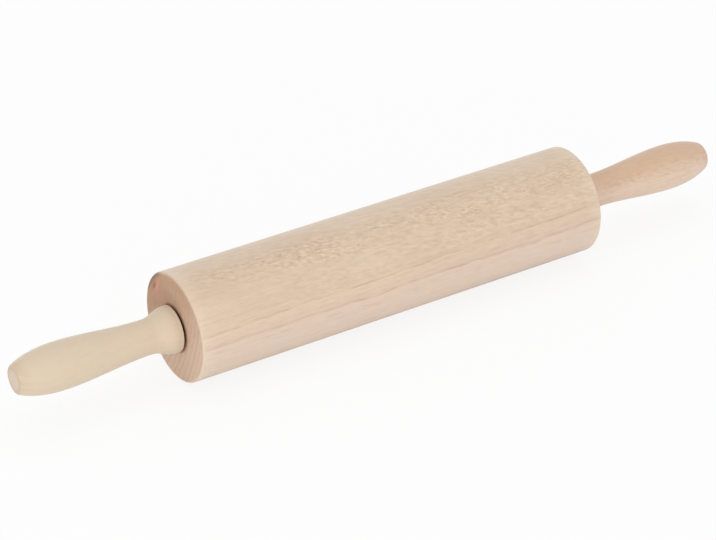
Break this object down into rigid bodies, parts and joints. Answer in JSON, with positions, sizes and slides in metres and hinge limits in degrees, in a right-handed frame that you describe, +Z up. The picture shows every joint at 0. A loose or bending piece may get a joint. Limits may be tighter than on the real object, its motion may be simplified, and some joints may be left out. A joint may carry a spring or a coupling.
{
  "type": "rolling pin",
  "caption": "Wooden rolling pin: a thick cylinder that spins freely on a fixed rod between two turned, waisted grips.",
  "frame": {"origin": "middle of the roller, on the axis that the roller turns about", "axes": "+X along the pin's axis from the left handle to the right handle, +Z up, away from the worktop"},
  "size_m": [0.437, 0.06, 0.06],
  "materials": {
    "beech": "raw fine-sanded beech",
    "beech_pale": "raw fine-sanded beech, paler boards",
    "steel": "ground and drawn steel",
    "polished_steel": "lapped bearing balls",
    "natural_nylon": "moulded natural nylon"
  },
  "bodies": {
    "handles": {"axle_rod": "steel", "left_handle": "beech_pale", "left_spacer_washer": "steel", "left_inner_race": "steel", "right_handle": "beech_pale", "right_spacer_washer": "steel", "right_inner_race": "steel"},
    "roller": {"barrel": "beech", "left_outer_race": "steel", "left_outboard_shield": "steel", "left_inboard_shield": "steel", "right_outer_race": "steel", "right_outboard_shield": "steel", "right_inboard_shield": "steel"},
    "left_cage": {"left_ball_cage": "natural_nylon", "left_ball_1": "polished_steel", "left_ball_2": "polished_steel", "left_ball_3": "polished_steel", "left_ball_4": "polished_steel", "left_ball_5": "polished_steel", "left_ball_6": "polished_steel", "left_ball_7": "polished_steel"},
    "right_cage": {"right_ball_cage": "natural_nylon", "right_ball_1": "polished_steel", "right_ball_2": "polished_steel", "right_ball_3": "polished_steel", "right_ball_4": "polished_steel", "right_ball_5": "polished_steel", "right_ball_6": "polished_steel", "right_ball_7": "polished_steel"}
  },
  "joints": [
    {"name": "roller_spin", "type": "hinge", "parent": "handles", "child": "roller", "pos_m": [0, 0, 0], "axis": [1, 0, 0], "continuous": true},
    {"name": "left_cage_spin", "type": "hinge", "parent": "handles", "child": "left_cage", "pos_m": [-0.1221, 0, 0], "axis": [1, 0, 0], "continuous": true},
    {"name": "right_cage_spin", "type": "hinge", "parent": "handles", "child": "right_cage", "pos_m": [0.1221, 0, 0], "axis": [1, 0, 0], "continuous": true}
  ],
  "couplings": [
    {"joint": "left_cage_spin", "follows": "roller_spin", "ratio": 0.6323},
    {"joint": "right_cage_spin", "follows": "roller_spin", "ratio": 0.6323}
  ]
}
